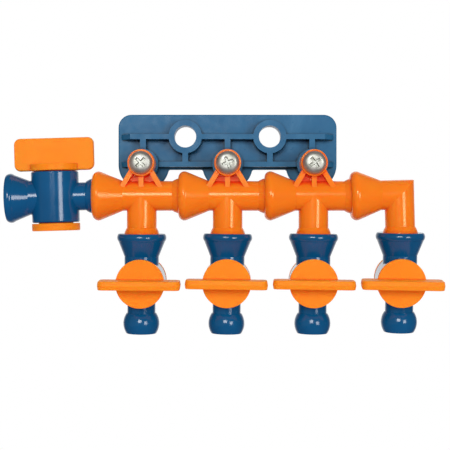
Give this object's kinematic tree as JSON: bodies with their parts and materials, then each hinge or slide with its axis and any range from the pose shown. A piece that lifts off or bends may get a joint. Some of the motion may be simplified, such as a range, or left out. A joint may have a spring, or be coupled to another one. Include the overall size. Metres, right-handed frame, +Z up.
{
  "type": "coolant manifold",
  "caption": "Wall-mounted coolant manifold: a ribbed bracket carries a row of snap-together tees and an elbow, with a quarter-turn valve at the inlet and under each branch.",
  "frame": {"origin": "midway between the centres of the two mounting holes, on the bracket's rear face", "axes": "+X along the row from the inlet to the elbow, +Y into the wall, +Z up"},
  "size_m": [0.1553, 0.0361, 0.0799],
  "materials": {
    "orange_plastic": "satin moulded",
    "valve_plastic": "gloss moulded",
    "bracket_plastic": "matt moulded",
    "zinc_steel": "bright zinc plate",
    "seal_rubber": "matt"
  },
  "bodies": {
    "root": {"bracket": "bracket_plastic", "tee_1": "orange_plastic", "tee_2": "orange_plastic", "tee_3": "orange_plastic", "tee_screw_1": "zinc_steel", "tee_screw_2": "zinc_steel", "tee_screw_3": "zinc_steel"},
    "elbow": {"elbow": "orange_plastic"},
    "inlet_valve": {"inlet_valve_body": "valve_plastic"},
    "inlet_handle": {"inlet_valve_handle": "orange_plastic", "inlet_valve_cap": "orange_plastic", "inlet_valve_seals": "seal_rubber"},
    "outlet_valve_1": {"outlet_valve_1_body": "valve_plastic"},
    "outlet_handle_1": {"outlet_valve_1_handle": "orange_plastic", "outlet_valve_1_cap": "orange_plastic", "outlet_valve_1_seals": "seal_rubber"},
    "outlet_valve_2": {"outlet_valve_2_body": "valve_plastic"},
    "outlet_handle_2": {"outlet_valve_2_handle": "orange_plastic", "outlet_valve_2_cap": "orange_plastic", "outlet_valve_2_seals": "seal_rubber"},
    "outlet_valve_3": {"outlet_valve_3_body": "valve_plastic"},
    "outlet_handle_3": {"outlet_valve_3_handle": "orange_plastic", "outlet_valve_3_cap": "orange_plastic", "outlet_valve_3_seals": "seal_rubber"},
    "outlet_valve_4": {"outlet_valve_4_body": "valve_plastic"},
    "outlet_handle_4": {"outlet_valve_4_handle": "orange_plastic", "outlet_valve_4_cap": "orange_plastic", "outlet_valve_4_seals": "seal_rubber"}
  },
  "joints": [
    {"name": "inlet_swivel", "type": "hinge", "parent": "root", "child": "inlet_valve", "pos_m": [-0.0471, -0.0146, -0.02184], "axis": [-0.9996, 0, -0.0279], "continuous": true},
    {"name": "inlet_handle_turn", "type": "hinge", "parent": "inlet_valve", "child": "inlet_handle", "pos_m": [-0.06199, -0.0146, -0.02226], "axis": [-0.0279, 0, 0.9996], "range_deg": [-90, 0]},
    {"name": "elbow_swivel", "type": "hinge", "parent": "root", "child": "elbow", "pos_m": [0.04559, -0.0146, -0.02184], "axis": [1, 0, 0], "continuous": true},
    {"name": "outlet_1_tilt", "type": "hinge", "parent": "root", "child": "outlet_valve_1", "pos_m": [-0.0309, -0.0146, -0.03693], "axis": [1, 0, 0], "range_deg": [-21.8, 18.2]},
    {"name": "outlet_1_handle_turn", "type": "hinge", "parent": "outlet_valve_1", "child": "outlet_handle_1", "pos_m": [-0.03101, -0.0141, -0.05278], "axis": [0.0085, -0.9995, -0.0315], "range_deg": [0, 90]},
    {"name": "outlet_2_tilt", "type": "hinge", "parent": "root", "child": "outlet_valve_2", "pos_m": [0, -0.0146, -0.03693], "axis": [1, 0, 0], "range_deg": [-20.8, 19.2]},
    {"name": "outlet_2_handle_turn", "type": "hinge", "parent": "outlet_valve_2", "child": "outlet_handle_2", "pos_m": [-0.00022, -0.01438, -0.05278], "axis": [-0.0142, -0.9998, -0.0138], "range_deg": [0, 90]},
    {"name": "outlet_3_tilt", "type": "hinge", "parent": "root", "child": "outlet_valve_3", "pos_m": [0.0309, -0.0146, -0.03693], "axis": [1, 0, 0], "range_deg": [-21, 19]},
    {"name": "outlet_3_handle_turn", "type": "hinge", "parent": "outlet_valve_3", "child": "outlet_handle_3", "pos_m": [0.0307, -0.01432, -0.05278], "axis": [-0.0369, -0.9992, -0.017], "range_deg": [0, 90]},
    {"name": "outlet_4_tilt", "type": "hinge", "parent": "elbow", "child": "outlet_valve_4", "pos_m": [0.06217, -0.0146, -0.03652], "axis": [1, 0, 0], "range_deg": [-22.9, 17.1]},
    {"name": "outlet_4_handle_turn", "type": "hinge", "parent": "outlet_valve_4", "child": "outlet_handle_4", "pos_m": [0.06201, -0.0138, -0.05235], "axis": [-0.0616, -0.9969, -0.0499], "range_deg": [0, 90]}
  ]
}
